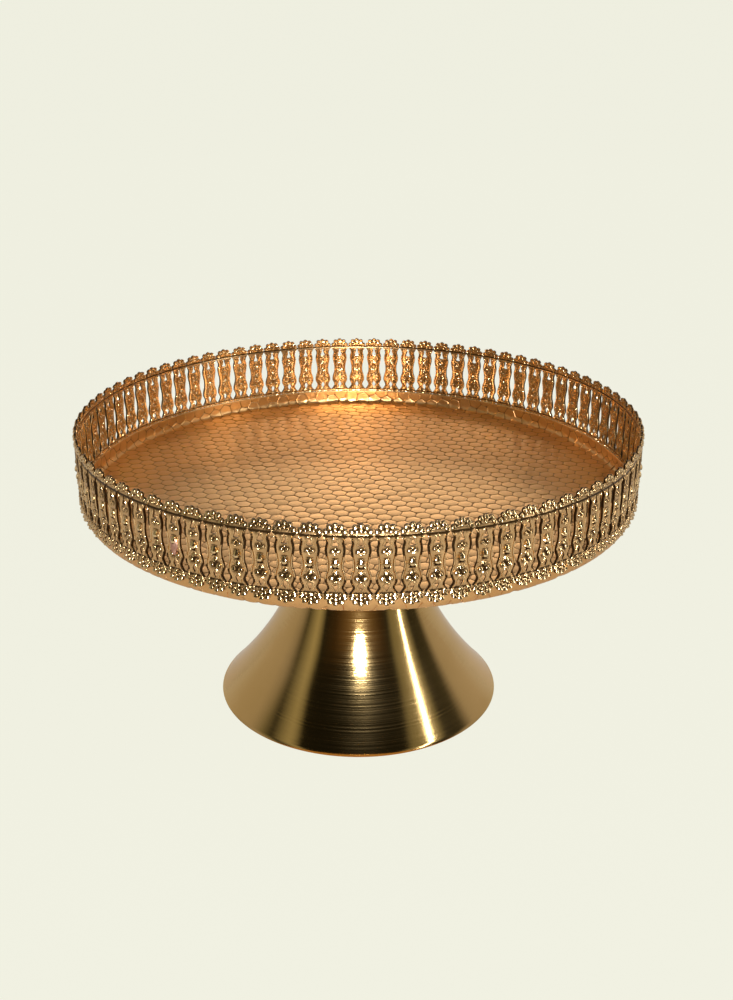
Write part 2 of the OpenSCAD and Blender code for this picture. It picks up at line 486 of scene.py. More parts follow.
def tray_face(upper):
    """One face of the tray: points, groove shares for the painted groove shade, faces and the ring of its
    points at the rim, by angle.
    """
    flat, height, groove, faces = honeycomb(upper)
    flat, faces = clip_to_rim(flat, faces)
    added = np.zeros(len(flat) - len(height))
    height, groove = np.concatenate([height, added]), np.concatenate([groove, added])
    rho = np.hypot(flat[:, 0], flat[:, 1])
    used = np.unique([i for face in faces for i in face])
    new_index = np.full(len(flat), -1)
    new_index[used] = np.arange(len(used))
    flat, height, groove, rho = flat[used], height[used], groove[used], np.minimum(rho[used], TOP_RHO)
    faces = [tuple(new_index[i] for i in face) for face in faces]
    angle = np.arctan2(flat[:, 1], flat[:, 0])
    height = height * np.clip((TOP_RHO - rho) / LIP_FADE, 0, 1)
    warp = WARP * np.sin(flat[:, 0] / WARP_X + 1) * np.sin(flat[:, 1] / WARP_Y)
    warp = warp * np.clip((WARP_END - rho) / WARP_FADE, 0, 1)
    r, z, nr, nz = tray_profile(rho)
    if upper:
        offset = height
        groove = groove * (rho < TOP_RHO - 0.5)
    else:
        printed = rho < BEND_AT - 1
        offset = np.where(printed, PRINT * height, 0.0) - SHEET
        # the lower face gets half the painted groove shade, only where the print shows
        groove = 0.5 * groove * printed
        faces = [tuple(reversed(face)) for face in faces]
    r = r + nr * offset
    points = np.stack([r * np.cos(angle), r * np.sin(angle), z + nz * offset + warp], 1)
    edge = np.where(rho > TOP_RHO - 1e-6)[0]
    return points, groove, faces, edge[np.argsort(angle[edge])]


def make_tray():
    """The pressed tray: both faces of its sheet and the round lip between them."""
    top, top_groove, top_faces, top_edge = tray_face(True)
    under, under_groove, under_faces, under_edge = tray_face(False)
    below = len(top)
    faces = top_faces + [tuple(below + i for i in face) for face in under_faces]
    angle = np.arctan2(top[top_edge, 1], top[top_edge, 0])
    verts, rows, start = [top, under], [top_edge], below + len(under)
    for step in range(1, LIP_STEPS):
        t = math.pi * step / LIP_STEPS
        r = WALL_IN + LIP - LIP * math.cos(t)
        z = np.full(len(angle), RIM_Z - LIP + LIP * math.sin(t))
        verts.append(np.stack([r * np.cos(angle), r * np.sin(angle), z], 1))
        rows.append(np.arange(start, start + len(angle)))
        start += len(angle)
    rows.append(under_edge + below)
    for lower, upper in zip(rows, rows[1:]):
        for k in range(len(angle)):
            after = (k + 1) % len(angle)
            faces.append((lower[after], lower[k], upper[k], upper[after]))
    values = np.concatenate([top_groove, under_groove, np.zeros((LIP_STEPS - 1) * len(angle))])
    tray = add_piece("tray_pan_embossed", np.concatenate(verts), faces, TRAY, ["tray_pan"],
                     60, {"groove": values})
    flat_cells = tray.modifiers.new("flat_cells", "WEIGHTED_NORMAL")
    flat_cells.weight = 80
    flat_cells.keep_sharp = True


make_tray()

# ---- pierced gallery, mm

REPEATS = 84
ARCS = 4  # stretches that the strip is made in
STRIP = 0.7  # the stamped strip's sheet
FACE_R = BAND_HI[0] - 1.2  # the strip's outer face where it has no relief
SEAM = 234.0  # degrees from +X to the gap at the strip's ends
STEP = 360 / REPEATS
PITCH = 2 * math.pi * FACE_R / REPEATS
HALF = PITCH / 2
TIP = 4.9  # from a rail's middle to the scallops' tips
LOW_RAIL = BAND_LO[2] + TIP
SPAN = BAND_HI[2] - BAND_LO[2] - 2 * TIP
RAIL_HALF = 0.42
RAIL_RISE = 0.12
UPPER_RAIL_HALF = 0.10  # half height of the upper rail's raised line
RAIL_CREASE = 1.05  # a crease with painted shade runs beside each rail, up to this far from its middle
RAIL_SHADOW = 0.9  # on the inner face, the band of painted tone beside each rail reaches this far from its middle
BETWEEN_RAILS = 1.0  # the columns start this far from a rail's middle
RIM_INSET = 0.10  # the middle of an open edge, which carries painted shade, lies this far below each face
ON_EDGE = 1e-4

# Half width of the gap between two columns at heights over the lower rail
GAP = [(0.65, 0.30), (1.5, 1.00), (2.6, 1.65), (3.5, 1.75), (4.5, 1.30), (5.8, 0.70), (7.4, 0.72),
       (8.8, 1.05), (10.4, 1.60), (12.0, 1.78), (13.8, 1.75), (15.6, 1.45), (17.2, 1.10), (18.8, 0.88),
       (20.2, 1.05), (21.4, 1.42), (22.4, 1.40), (23.5, 0.95), (24.6, 0.25)]
# Half outlines of the two openings inside a column, from the bottom up
DIAMOND = [(1.5, 0.10), (2.6, 0.65), (3.4, 0.95), (4.2, 0.60), (4.9, 0.10)]
BELL = [(20.3, 0.75), (20.7, 1.25), (21.5, 0.85), (22.6, 0.45), (23.7, 0.42), (24.4, 0.15)]
# Raised beads: across, height over the lower rail, radius and how far they stand up
BEADS = [(-1.12, 18.35, 0.68, 0.55), (1.12, 18.35, 0.68, 0.55), (0, 19.35, 0.42, 0.30),
         (0, 9.35, 0.95, 0.80), (-1.55, 7.1, 1.0, 0.85), (1.55, 7.1, 1.0, 0.85), (0, 5.6, 0.45, 0.40),
         (-3.3, 0.0, 0.85, 0.75), (0, 0.0, 0.95, 0.85), (3.3, 0.0, 0.85, 0.75)]
BOSS = (0, 13.6, 1.15, 2.10, 1.2)  # across, height, half width, half height, rise
FACET = 0.48  # slope of the upper faces of beads and bosses
STUD_CREASE = 0.22  # width of the crease round each of them
SHADED_UNDERSIDE = 0.62  # painted shade from this share of their half height downwards
# Narrow raised lines on the right of a column, mirrored on the left: points from the middle outwards
LINES = [[(0.1, 16.7), (0.9, 17.3), (1.9, 17.9)], [(0.15, 10.9), (0.9, 11.4), (1.7, 12.4)],
         [(0.2, 11.3), (0.75, 10.2), (1.9, 9.0)], [(0.25, 5.6), (1.2, 4.1), (1.55, 2.9), (1.3, 1.2)],
         [(0.75, 23.6), (0.95, 22.3), (1.65, 20.9), (1.5, 19.8)]]
LINE_HALF = 0.26
# The double outline of a column: distance in from its edge, half width, rise
OUTLINES = ((0.30, 0.32, 0.42), (1.02, 0.26, 0.24))
OUTLINE_CREASE = (0.68, 0.12)  # the crease between the two, dark with painted shade: distance in, half width
INNER_CREASE = (0.66, 0.13)  # the same painted shade on the inner face
SHADED_EDGE = 0.62  # where an edge turns away, painted shade darkens it as far in as this
SHADED_HEIGHTS = ((19.6, 3.6), (4.0, 3.2))  # those places: middle height, half height
BOSS_SHADOW = (1.15, 11.75, 0.75)  # painted shadow under a boss: half width, middle height, half height
# Tones of the outer rails' raised lines (a little painted shade) and of the inner face's hollows and rail
# bands (a little painted highlight)
RAIL_TONE, HOLLOW_TONE = -0.01, 0.15
FAN_BEADS = [(3.72, 13, 0.98), (3.62, 51, 1.02), (3.42, 90, 1.05), (3.62, 129, 1.02), (3.72, 167, 0.98),
             (1.55, 90, 0.80), (1.85, 32, 0.58), (1.85, 148, 0.58)]  # reach, degrees, radius
FAN_EDGE_BEADS = 5  # so many of them shape the fan's edge
FAN_SQUASH = 0.95  # heights in a fan as a share of its reach
FAN_LEAST = 3.9  # its edge's least reach
FAN_STEPS = 42

# Where a repeat's mesh gets points: rings round a bead (share of its radius, margin, count),
BEAD_RINGS = ((0.45, 0, 6), (0.84, 0, 10), (1, 0.01, 11), (1, 0.12, 11))
# rings round a boss (share, count), distances from a column's edge, from a line and from a rail
BOSS_RINGS = ((0.35, 8), (0.66, 12), (0.88, 16), (1.01, 14), (1.13, 14), (1.26, 12))
EDGE_POINTS = (0.02, 0.16, 0.32, 0.50, 0.64, 0.80, 1.02, 1.26)
LINE_POINTS = (-0.27, -0.13, 0.0, 0.13, 0.27)
RAIL_POINTS = (-0.45, -0.2, 0.0, 0.2, 0.45, 0.74, 1.03)
EDGE_ROOM, POINT_ROOM = 0.09, 0.13  # least distances from an outline's points and from other points


def gap_half(v):
    heights, halves = zip(*GAP)
    return np.interp(v, heights, halves)


def fan_outline(up):
    """Lobed edge of a fan round its outer beads from left to right, heights over the lower rail."""
    base, sign = (SPAN + RAIL_HALF, 1) if up else (-RAIL_HALF, -1)
    edge = []
    for i in range(FAN_STEPS + 1):
        t = math.pi * (1 - i / FAN_STEPS)
        reach = FAN_LEAST
        for centre, turn, r in FAN_BEADS[:FAN_EDGE_BEADS]:
            off = t - math.radians(turn)
            room = (r + 0.10) ** 2 - (centre * math.sin(off)) ** 2
            if room > 0 and math.cos(off) > 0:
                reach = max(reach, centre * math.cos(off) + math.sqrt(room))
        reach = min(reach, HALF - 0.06)
        edge.append((reach * math.cos(t), base + sign * FAN_SQUASH * reach * math.sin(t)))
    return edge


def repeat_outline():
    """Closed outline of one repeat, anticlockwise, and its two openings."""
    side = [(HALF - w, v) for v, w in GAP]
    upper = (SPAN - RAIL_HALF, SPAN - 0.12, SPAN - 0.02, SPAN + RAIL_HALF)
    outer = [(-HALF, -RAIL_HALF)] + fan_outline(False) + [(HALF, -RAIL_HALF), (HALF, RAIL_HALF)]
    outer += side + [(HALF, v) for v in upper] + fan_outline(True)[::-1]
    outer += [(-HALF, v) for v in reversed(upper)]
    outer += [(-u, v) for u, v in reversed(side)] + [(-HALF, RAIL_HALF)]
    holes = [[(w, v) for v, w in shape] + [(-w, v) for v, w in reversed(shape)] for shape in (DIAMOND, BELL)]
    return outer, holes


def inside_polygon(points, polygon):
    """Which points lie inside a closed polygon."""
    x, y = points[:, 0], points[:, 1]
    result = np.zeros(len(points), bool)
    px, py = np.array(polygon).T
    for x0, y0, x1, y1 in zip(px, py, np.roll(px, -1), np.roll(py, -1)):
        crosses = (y0 > y) != (y1 > y)
        at = x0 + (y - y0) * (x1 - x0) / (y1 - y0 if y1 != y0 else 1)
        result ^= crosses & (x < at)
    return result


def all_beads():
    """Every round bead of a repeat: across, height over the lower rail, radius, rise."""
    beads = list(BEADS)
    for base, sign in ((SPAN + RAIL_HALF, 1), (-RAIL_HALF, -1)):
        for reach, turn, r in FAN_BEADS:
            t = math.radians(turn)
            beads.append((reach * math.cos(t), base + sign * FAN_SQUASH * reach * math.sin(t), r, 0.85 * r))
    return beads


def studs():
    """Beads and boss of a repeat as (across, height, half width, half height, rise)."""
    return [(cu, cv, r, r, rise) for cu, cv, r, rise in all_beads()] + [BOSS]


def stud_distance(u, v, stud, margin=0.0):
    """Distance from a stud's middle: 1 on its outline, or on one that is wider by a margin."""
    cu, cv, wide, tall = stud[:4]
    return np.hypot((u - cu) / (wide + margin), (v - cv) / (tall + margin))


def stud_height(u, v, stud):
    """A stud that slopes gently up from its top edge and falls off steeply below, rounded across."""
    cu, cv, wide, tall, rise = stud
    x, y = (u - cu) / wide, (v - cv) / tall
    dome = 1.6 * np.sqrt(np.clip(1 - x * x - y * y, 0, 1))
    slope = FACET * tall / rise * (1.0 - y) + 0.06 - 0.20 * x * x
    return rise * np.clip(np.minimum(dome, slope), 0, 1.0)


def ridge(distance, half_width, rise):
    """Height of a rounded ridge at a distance from its middle line."""
    return rise * np.sqrt(np.clip(1 - (distance / half_width) ** 2, 0, 1))


def raise_to(height, raised):
    """A surface with something standing on it: creases stay where nothing stands."""
    return np.where(raised > 0, np.maximum(height, raised), height)


def line_distance(u, v, line):
    """Distance of each point to a polyline."""
    best = np.full(len(u), 1e9)
    for (x0, y0), (x1, y1) in zip(line, line[1:]):
        dx, dy = x1 - x0, y1 - y0
        t = np.clip(((u - x0) * dx + (v - y0) * dy) / (dx * dx + dy * dy), 0, 1)
        best = np.minimum(best, np.hypot(u - x0 - t * dx, v - y0 - t * dy))
    return best


def column_edge(u, v):
    """Distance in from a column's edge, and which points lie between the rails."""
    return HALF - gap_half(v) - np.abs(u), (v > BETWEEN_RAILS) & (v < SPAN - BETWEEN_RAILS)


def edge_ridge(u, v):
    """The double outline that runs up both edges of a column."""
    edge, between = column_edge(u, v)
    outer, inner = (ridge(edge - inset, half, rise) for inset, half, rise in OUTLINES)
    return np.where(between, np.maximum(outer, inner), 0)


def relief(u, v):
    """How far the stamped outer face stands out at each point of a repeat, and its tone of painted light."""
    edge, between = column_edge(u, v)
    inset, half = OUTLINE_CREASE
    height = np.where(between & (np.abs(edge - inset) < half), CREASE, 0.04)
    for inward, line in ((v, RAIL_HALF), (SPAN - v, UPPER_RAIL_HALF)):
        height = np.where((inward > line) & (inward < RAIL_CREASE), CREASE, height)
        height = np.where(np.abs(inward) < line, RAIL_RISE, height)
    shells = [stud_distance(u, v, stud, STUD_CREASE) for stud in studs()]
    height = np.where(np.min(shells, axis=0) < 1.0, CREASE, height)
    height = raise_to(height, edge_ridge(u, v))
    for line in LINES:
        height = raise_to(height, ridge(line_distance(np.abs(u), v, line), LINE_HALF, 0.34))
    (upper, upper_half), (lower, lower_half) = SHADED_HEIGHTS
    turning = (np.abs(v - upper) < upper_half) | (np.abs(v - lower) < lower_half)
    # The tone starts from the height: creases carry painted shade and ridges painted highlight. Edges that
    # turn away get painted shade too.
    tone = np.where(between & (edge < SHADED_EDGE) & turning, CREASE, height)
    on_rail = np.minimum(np.abs(v), np.abs(v - SPAN)) < RAIL_HALF
    # the rails' raised lines get a little painted shade
    tone = np.where((height > 0.1) & on_rail, RAIL_TONE, tone)
    # Studs: painted shade on their undersides, painted highlight where they stand up, as their height becomes
    # the tone.
    for stud, shell in zip(studs(), shells):
        raised = stud_height(u, v, stud)
        under = (shell < 1.0) & (v < stud[1] - SHADED_UNDERSIDE * stud[3])
        tone = np.where(under, CREASE, np.where(raised > np.maximum(height, 0), raised, tone))
        height = raise_to(height, raised)
    # painted shadow under the boss
    wide, middle, tall = BOSS_SHADOW
    tone = np.where((np.abs(u) < wide) & (np.abs(v - middle) < tall), CREASE, tone)
    return height, tone


def inner_relief(u, v):
    """How far the inner face stands in, and its tone of painted light: the same outlines, with hollows behind
    the studs.
    """
    outline = edge_ridge(u, v)
    height = np.where(outline > 0, outline, -0.05)
    for line in LINES:
        height = np.maximum(height, ridge(line_distance(np.abs(u), v, line), LINE_HALF, 0.28))
    for stud in studs():
        shell = stud_distance(u, v, stud)
        height = np.maximum(height, ridge((shell - 1) * stud[2], LINE_HALF, 0.22))
        height = np.where(shell < 0.85, -0.5 * ridge(shell, 1.0, stud[4]), height)
    # The tone follows the height, so ridges carry painted highlight and the plain face a little painted
    # shade; the hollows behind the studs get a lighter tone, a painted highlight.
    tone = np.where(height < -0.06, HOLLOW_TONE, height)
    edge, between = column_edge(u, v)
    inset, half = INNER_CREASE
    # painted shade in the crease between the two outlines
    tone = np.where(between & (np.abs(edge - inset) < half), CREASE, tone)
    # along the rails: lines of painted shade and bands of lighter painted highlight
    for inward, on_rail, beside in ((v, HOLLOW_TONE, CREASE), (SPAN - v, CREASE, HOLLOW_TONE)):
        height = np.where(np.abs(inward) < RAIL_HALF, -RAIL_RISE, height)
        tone = np.where(np.abs(inward) < RAIL_HALF, on_rail, tone)
        tone = np.where((inward > RAIL_HALF) & (inward < RAIL_SHADOW), beside, tone)
    return height, tone


def repeat_points():
    """Inner points that carry the relief of one repeat."""
    points = []

    def ring(cu, cv, wide, tall, count):
        turns = np.arange(count) * 2 * math.pi / count
        points.extend((cu + wide * math.cos(t), cv + tall * math.sin(t)) for t in turns)

    for cu, cv, r, rise in all_beads():
        points.append((cu, cv))
        for share, margin, count in BEAD_RINGS:
            ring(cu, cv, share * r + margin, share * r + margin, count)
    cu, cv, wide, tall, rise = BOSS
    points.append((cu, cv))
    for share, count in BOSS_RINGS:
        ring(cu, cv, share * wide, share * tall, count)
    for v in np.arange(1.1, SPAN - BETWEEN_RAILS, 0.70):
        for inset in EDGE_POINTS:
            u = HALF - float(gap_half(v)) - inset
            points += [(u, v), (-u, v)]
    for line in LINES:
        for (x0, y0), (x1, y1) in zip(line, line[1:]):
            length = math.hypot(x1 - x0, y1 - y0)
            nx, ny = -(y1 - y0) / length, (x1 - x0) / length
            for t in np.linspace(0, 1, max(2, int(length / 0.45)), endpoint=False):
                for off in LINE_POINTS:
                    x, y = x0 + t * (x1 - x0) + off * nx, y0 + t * (y1 - y0) + off * ny
                    points += [(x, y), (-x, y)]
    for rail, inward in ((0, 1), (SPAN, -1)):
        for off in RAIL_POINTS:
            points += [(u, rail + off * inward) for u in np.linspace(-HALF + 0.4, HALF - 0.4, 13)]
    return points


def repeat_mesh():
    """One repeat, flat: its points and its faces, with openings left out."""
    outer, holes = repeat_outline()
    verts, edges = [], []
    for outline in [outer] + holes:
        ids = list(range(len(verts), len(verts) + len(outline)))
        verts += outline
        edges += list(zip(ids, ids[1:] + ids[:1]))

    def on_metal(points):
        pierced = inside_polygon(points, holes[0]) | inside_polygon(points, holes[1])
        return inside_polygon(points, outer) & ~pierced

    extra = np.array(repeat_points())
    chosen = np.array(verts)
    first = len(verts)
    for p in extra[on_metal(extra)]:
        away = np.hypot(*(chosen - p).T)
        if away[:first].min() > EDGE_ROOM and (len(chosen) == first or away[first:].min() > POINT_ROOM):
            chosen = np.vstack([chosen, p])
    out = delaunay_2d_cdt([Vector(p) for p in chosen], edges, [], 0, 1e-5, True)
    points = np.array([tuple(p) for p in out[0]])
    faces = np.array([face for face in out[2] if len(face) == 3])
    return points, faces[on_metal(points[faces].mean(axis=1))]


def make_gallery(name, first, count, flat, faces):
    """A stretch of the strip: outer and inner faces, and rims with middles of painted shade along every open
    edge.
    """
    u, v = flat[:, 0], flat[:, 1]
    (front, front_tone), (back, back_tone) = relief(u, v), inner_relief(u, v)
    directed = {(a, b) for tri in faces.tolist() for a, b in zip(tri, tri[1:] + tri[:1])}
    on_seam = np.abs(np.abs(u) - HALF) < ON_EDGE
    open_edges = [(a, b) for a, b in directed if (b, a) not in directed]
    rim_edges = sorted((a, b) for a, b in open_edges if not (on_seam[a] and on_seam[b]))
    rim = sorted({i for edge in rim_edges for i in edge})
    place = {i: k for k, i in enumerate(rim)}
    total, rims = len(flat), len(rim)
    # painted shade on the middles of the cut edges
    dark = np.full(rims, CREASE)
    layers = [(u, v, FACE_R + front, front_tone), (u, v, FACE_R - STRIP - back, back_tone),
              (u[rim], v[rim], FACE_R + front[rim] - RIM_INSET, dark),
              (u[rim], v[rim], FACE_R - STRIP - back[rim] + RIM_INSET, dark)]
    block = faces.tolist() + (faces[:, ::-1] + total).tolist()
    for a, b in rim_edges:
        walls = [(a, b), (2 * total + place[a], 2 * total + place[b]),
                 (2 * total + rims + place[a], 2 * total + rims + place[b]), (total + a, total + b)]
        block += [(q, p, r, s) for (p, q), (r, s) in zip(walls, walls[1:])]

    def end_caps(side):
        """Faces that close the strip's two rails at the left or right side of a repeat."""
        caps = []
        seam_ids = [i for i in np.argsort(v) if abs(u[i] - side * HALF) < ON_EDGE]
        for rail in ([i for i in seam_ids if v[i] < SPAN / 2], [i for i in seam_ids if v[i] > SPAN / 2]):
            low, high = (2 * total + place[rail[0]], 2 * total + place[rail[-1]])
            loop = rail + [high, high + rims] + [i + total for i in reversed(rail)] + [low + rims, low]
            caps.append(tuple(loop if side < 0 else reversed(loop)))
        return caps

    verts, values, out_faces, base = [], [], [], 0
    for i in range(count):
        for across, up, r, value in layers:
            turn = np.radians(SEAM + (first + i + 0.5) * STEP + across / PITCH * STEP)
            verts.append(np.stack([r * np.cos(turn), r * np.sin(turn), LOW_RAIL + up], 1))
            values.append(value)
        ends = (end_caps(-1) if i == 0 else []) + (end_caps(1) if i == count - 1 else [])
        out_faces += [tuple(k + base for k in face) for face in block + ends]
        base += 2 * (total + rims)
    stretch = add_piece(name, np.concatenate(verts), out_faces, GALLERY, ["gallery_band"], 50,
                        {"relief": np.concatenate(values)})
    weld(stretch, 0.02)


flat_points, flat_faces = repeat_mesh()
for arc in range(ARCS):
    per_arc = REPEATS // ARCS
    make_gallery(f"gallery_strip_{arc + 1}", arc * per_arc, per_arc, flat_points, flat_faces)

# ---- pedestal, mm

NECK_R = 25.0
FLARE = 2.2  # power of the flare: the wall spreads late and then fast
WALL = 1.5
HEM = 4.0  # width of the foot's folded edge
FLAT_SHEET = 1.2  # thickness of the flat top and of the folded edge
HOLE_R = 3.4
SHOULDER = 0.6  # radius of the edge between wall and top
FOOT_EDGE = 0.12  # radius of the foot's lower edge
PEDESTAL_ROWS = 90
FOOT_R = FOOT_HI[0]
TOP_Z = FOOT_HI[2]


def flare_r(z):
    return NECK_R + (FOOT_R - NECK_R) * max(0.0, 1 - z / TOP_Z) ** FLARE


def make_pedestal():
    """Hollow spun pedestal with a pierced flat top and a folded foot."""
    outer = [(flare_r(z), z) for z in np.linspace(0.2, TOP_Z - 0.8, PEDESTAL_ROWS)]
    inner = [(flare_r(z) - WALL, z) for z in np.linspace(FLAT_SHEET, TOP_Z - 1.6, PEDESTAL_ROWS)]
    foot = arc_points(FOOT_R - FOOT_EDGE, FOOT_EDGE, FOOT_EDGE, -90, 0, 4)
    shoulder = arc_points(NECK_R - SHOULDER, TOP_Z - SHOULDER, SHOULDER, 20, 90, 5)
    profile = [(FOOT_R - HEM, 0.0)] + foot + outer + shoulder
    profile += [(HOLE_R, TOP_Z), (HOLE_R, TOP_Z - FLAT_SHEET), (NECK_R - 2.4, TOP_Z - FLAT_SHEET)]
    profile += inner[::-1] + [(FOOT_R - HEM, FLAT_SHEET)]
    turned("pedestal_spun", profile, PEDESTAL, "pedestal_cone", 192)


make_pedestal()

# ---- solder patch and hardware, mm

SOLDER_WIDE, SOLDER_TALL = 1.9, 3.9  # half sizes of the patch
SOLDER_UP = 11.0  # its middle, over the lower rail
SOLDER_SINK, SOLDER_RISE = 0.25, 0.72
SOLDER_ROWS, SOLDER_SPOKES = 12, 40
STUD_R = STUD_HI[0]
STUD_SPOKES = 48
THREAD = 1.0  # pitch of the stud's thread
THREAD_ROWS = 8  # rows of points in one pitch
THREAD_DEPTH = 0.5
STUD_TAPER = 0.8  # how much narrower the stud's tip is
BORE = STUD_R + 0.02
SPLIT_AT, SPLIT_TURN, SPLIT_LEAN = 42, 344, 8.0  # the lock washer's start, turn and slant, degrees
SPLIT_STEPS = 72
NUT_BOSS = 6.0  # height of the wing nut's boss
WING = 2.0  # thickness of its wings
WING_TIP, WING_TIP_IN = 3.8, 3.9  # radius of their tips, and how far in its middle lies


def make_solder():
    """Lumpy patch of solder over the outside of the strip's joined ends."""
    column = math.radians(SEAM + STEP / 2)
    verts, faces = [], []
    for outside in (True, False):
        for row in range(SOLDER_ROWS + 1):
            share = row / SOLDER_ROWS
            dome = math.sqrt(max(0.0, 1 - share ** 2))
            for k in range(SOLDER_SPOKES):
                t = 2 * math.pi * k / SOLDER_SPOKES
                reach = share * (1 + 0.10 * math.sin(3 * t + 0.7) + 0.07 * math.sin(5 * t + 2.0))
                across, up = SOLDER_WIDE * reach * math.cos(t), SOLDER_TALL * reach * math.sin(t)
                lump = 0.13 * math.sin(2.9 * across + 1.1) * math.sin(2.1 * up + 0.4)
                lump += 0.06 * math.sin(4.3 * up + across)
                rise = SOLDER_SINK + SOLDER_RISE * dome + lump * dome if outside else -SOLDER_SINK
                verts.append(polar(FACE_R + rise, column + across / FACE_R, LOW_RAIL + SOLDER_UP + up))
    sheet = (SOLDER_ROWS + 1) * SOLDER_SPOKES
    for a, b, c, d in grid(SOLDER_ROWS, SOLDER_SPOKES):
        faces += [(a, d, c, b), (b + sheet, c + sheet, d + sheet, a + sheet)]
    rim = [SOLDER_ROWS * SOLDER_SPOKES + k for k in range(SOLDER_SPOKES)]
    faces += [(a, a + sheet, b + sheet, b) for a, b in zip(rim, rim[1:] + rim[:1])]
    weld(add_piece("solder_patch", verts, faces, SOLDER, ["seam_solder"], 60), 0.01)


def make_stud():
    """Threaded stud with a tapered tip."""
    low, high = STUD_LO[2], STUD_HI[2]
    rows = int((high - low) / THREAD * THREAD_ROWS)
    verts = []
    for row in range(rows + 1):
        z = low + (high - low) * row / rows
        for k in range(STUD_SPOKES):
            phase = (z / THREAD - k / STUD_SPOKES) % 1.0
            cut = min(1.0, max(0.0, 1.35 * abs(2 * phase - 1) - 0.15))
            r = min(STUD_R - 0.04 - THREAD_DEPTH * cut, STUD_R - STUD_TAPER + STUD_TAPER * (z - low))
            verts.append(polar(r, 2 * math.pi * k / STUD_SPOKES, z))
    faces = list(grid(rows, STUD_SPOKES))
    faces += [tuple(reversed(range(STUD_SPOKES))), tuple(range(rows * STUD_SPOKES, (rows + 1) * STUD_SPOKES))]
    add_piece("stud_threaded", verts, faces, ZINC, ["stud"], 50)


def chamfered(inner, outer, low, high, cut):
    """Profile of a flat ring with its outer edges cut, anticlockwise."""
    return [(inner, low), (outer - cut, low), (outer, low + cut), (outer, high - cut), (outer - cut, high),
            (inner, high)]


def make_lock_washer():
    """Spring washer with a slanted split."""
    low, high, outer = LOCK_LO[2], LOCK_HI[2], LOCK_HI[0]
    profile = chamfered(STUD_R + 0.2, outer, low, high, 0.2)
    verts = []
    for i in range(SPLIT_STEPS + 1):
        for r, z in profile:
            lean = SPLIT_LEAN * (z - low) / (high - low)
            verts.append(polar(r, math.radians(SPLIT_AT + SPLIT_TURN * i / SPLIT_STEPS + lean), z))
    count = len(profile)
    faces = [(b, a, d, c) for a, b, c, d in grid(SPLIT_STEPS, count)]
    faces += [tuple(range(count)), tuple(reversed(range(SPLIT_STEPS * count, (SPLIT_STEPS + 1) * count)))]
    add_piece("lock_washer_split", verts, faces, SPRING_STEEL, ["lock_washer"], CRISP)


def make_wing_nut():
    """Boss and two wings run together into one smooth casting."""
    top, low, reach, boss = NUT_HI[2], NUT_LO[2], NUT_HI[0], NUT_HI[1]
    verts, faces = lathe([(BORE, top - NUT_BOSS), (boss - 1.1, top - NUT_BOSS), (boss - 0.05, top - 0.3),
                          (boss - 0.3, top), (BORE, top)], 64)
    outline = [(boss - 1.4, top - 1.2), (boss - 1.8, top - NUT_BOSS + 0.6)]
    outline += arc_points(reach - WING_TIP_IN, low + WING_TIP_IN, WING_TIP, -110, 75, 20)
    count = len(outline)
    for turn in (1, -1):
        first = len(verts)
        for side in (-1, 1):
            verts += [(turn * x, turn * side * WING / 2, z) for x, z in outline]
        faces.append(tuple(first + k for k in range(count)))
        faces.append(tuple(first + count + k for k in reversed(range(count))))
        faces += [(first + (k + 1) % count, first + k, first + count + k, first + count + (k + 1) % count)
                  for k in range(count)]
    nut = add_piece("wing_nut_cast", verts, faces, ZINC, ["wing_nut"], 180)
    remesh = nut.modifiers.new("remesh", "REMESH")
    remesh.mode = "VOXEL"
    remesh.voxel_size = 0.25 * MM
    remesh.use_smooth_shade = True
    smooth = nut.modifiers.new("smooth", "SMOOTH")
    smooth.factor = 0.5
    smooth.iterations = 6


make_solder()
make_stud()
make_lock_washer()
make_wing_nut()
turned("mount_plate_disc", chamfered(BORE, PLATE_HI[0], PLATE_LO[2], PLATE_HI[2], 0.25),
       PLAIN_STEEL, "mount_plate")
turned("flat_washer_ring", chamfered(HOLE_R, WASHER_HI[0], WASHER_LO[2], WASHER_HI[2], 0.2),
       ZINC, "flat_washer")

# ---- stage and light, m

STAGE_COLOUR, STAGE_ALBEDO, STAGE_GLOW = (0.90, 0.90, 0.78), 0.03, 0.95
TABLE_COLOUR, TABLE_ALBEDO, TABLE_GLOW = (0.92, 0.85, 0.76), 0.30, 0.40
STAGE_R = 3.0
STAGE_BEND = 1.0
STAGE_TOP = 6.0
TABLE_DROP = 0.001  # how far the mirrored table lies under the floor that the camera sees
LIGHT_TARGET = (0, 0, 0.08)
WHITE = (1.0, 0.97, 0.92)
ROSE = (1.0, 0.88, 0.74)
OLIVE = (1.0, 0.92, 0.60)
BROWN = (1.0, 0.60, 0.25)
# Azimuth in degrees (0 is the camera's side, 90 the right), brightness and tint of the surroundings low down
WORLD_LOW = [(-180, 0.68, WHITE), (-150, 0.60, WHITE), (-120, 0.46, ROSE), (-100, 0.42, ROSE),
             (-90, 0.32, ROSE), (-80, 0.08, OLIVE), (-70, 0.28, OLIVE), (-63, 0.42, OLIVE),
             (-57, 0.26, OLIVE), (-51, 0.02, OLIVE), (-34, 0.05, BROWN), (-16, 0.15, BROWN),
             (0, 0.24, BROWN), (16, 0.15, BROWN), (34, 0.05, BROWN), (44, 0.03, OLIVE), (50, 0.22, OLIVE),
             (72, 0.32, OLIVE), (81, 0.03, OLIVE), (96, 0.05, OLIVE), (106, 0.40, ROSE),
             (125, 0.46, ROSE), (150, 0.60, WHITE), (180, 0.68, WHITE)]
